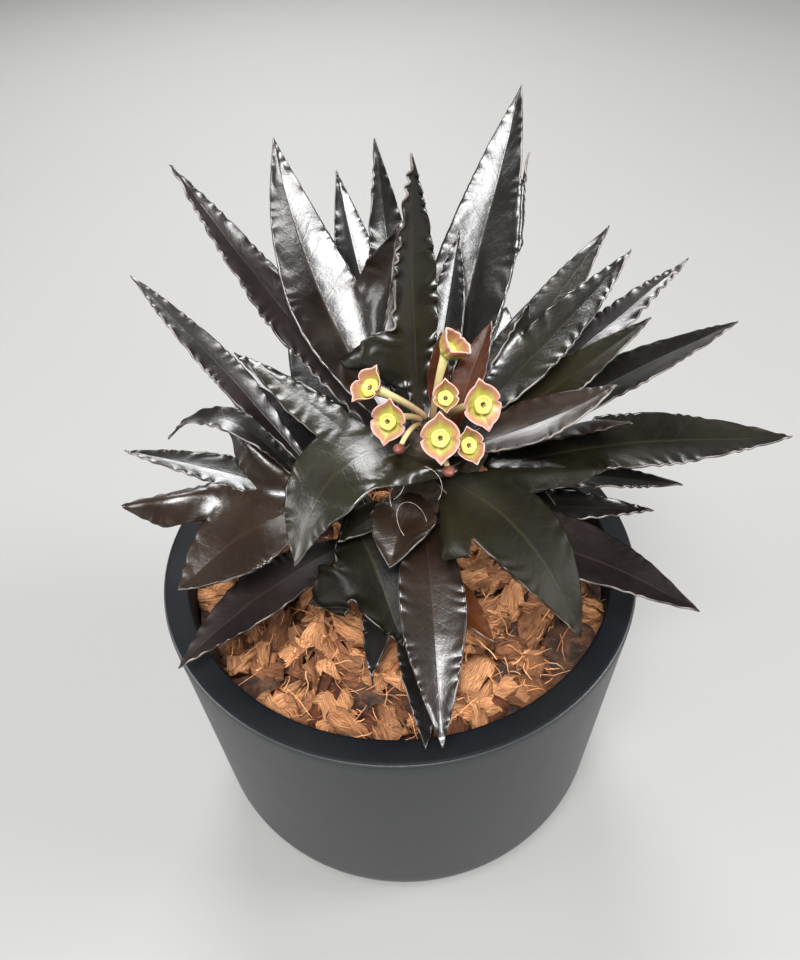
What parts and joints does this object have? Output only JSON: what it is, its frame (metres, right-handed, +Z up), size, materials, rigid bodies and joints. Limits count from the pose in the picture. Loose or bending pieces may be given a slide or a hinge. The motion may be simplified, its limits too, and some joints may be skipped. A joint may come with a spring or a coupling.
{
  "type": "potted euphorbia",
  "caption": "Low potted succulent: dark pointed lobed leaves radiating from a short branched stem, small cup flowers at the crown, husk chips and a round tapered pot.",
  "frame": {"origin": "centre of the pot's foot, on the surface it stands on", "axes": "+Z up along the pot's axis; -Y towards the plant's front, where the low leaf hangs over the rim; +X to the right seen from the front"},
  "size_m": [0.1763, 0.139, 0.193],
  "materials": {
    "pot": "dark blue-grey matte moulded plastic",
    "husk": "rough fibrous coconut husk, orange-brown",
    "stem": "dull brown bark",
    "leaf": null,
    "flower": null
  },
  "bodies": {
    "root": {"bud_left": "flower", "bud_right": "flower", "flower_back": "flower", "flower_front": "flower", "flower_left": "flower", "flower_left_upper": "flower", "flower_right": "flower", "flower_small": "flower", "flower_top": "flower", "husk_bed": "husk", "husk_chip_01": "husk", "husk_chip_02": "husk", "husk_chip_03": "husk", "husk_chip_04": "husk", "husk_chip_05": "husk", "husk_chip_06": "husk", "husk_chip_07": "husk", "husk_chip_08": "husk", "leaf_at_bed": "leaf", "leaf_back_low_a": "leaf", "leaf_back_low_b": "leaf", "leaf_back_low_c": "leaf", "leaf_back_low_d": "leaf", "leaf_back_low_e": "leaf", "leaf_back_right_a": "leaf", "leaf_back_right_b": "leaf", "leaf_back_spade": "leaf", "leaf_crinkled": "leaf", "leaf_front": "leaf", "leaf_front_right": "leaf", "leaf_front_short": "leaf", "leaf_front_under": "leaf", "leaf_inner_front": "leaf", "leaf_left": "leaf", "leaf_left_arched": "leaf", "leaf_left_brown": "leaf", "leaf_left_low": "leaf", "leaf_left_narrow": "leaf", "leaf_left_rippled": "leaf", "leaf_left_under": "leaf", "leaf_olive_left": "leaf", "leaf_red": "leaf", "leaf_right_black": "leaf", "leaf_right_grey": "leaf", "leaf_right_grey_back": "leaf", "leaf_right_long": "leaf", "leaf_right_low": "leaf", "leaf_right_rippled": "leaf", "leaf_right_upper": "leaf", "leaf_shoot": "leaf", "leaf_spear": "leaf", "leaf_tall_back": "leaf", "leaf_tall_left": "leaf", "leaf_twisted": "leaf", "leaf_twisted_back": "leaf", "leaf_under_crinkled": "leaf", "leaf_young_back": "leaf", "leaf_young_right": "leaf", "pot": "pot", "stem": "stem"}
  },
  "joints": []
}
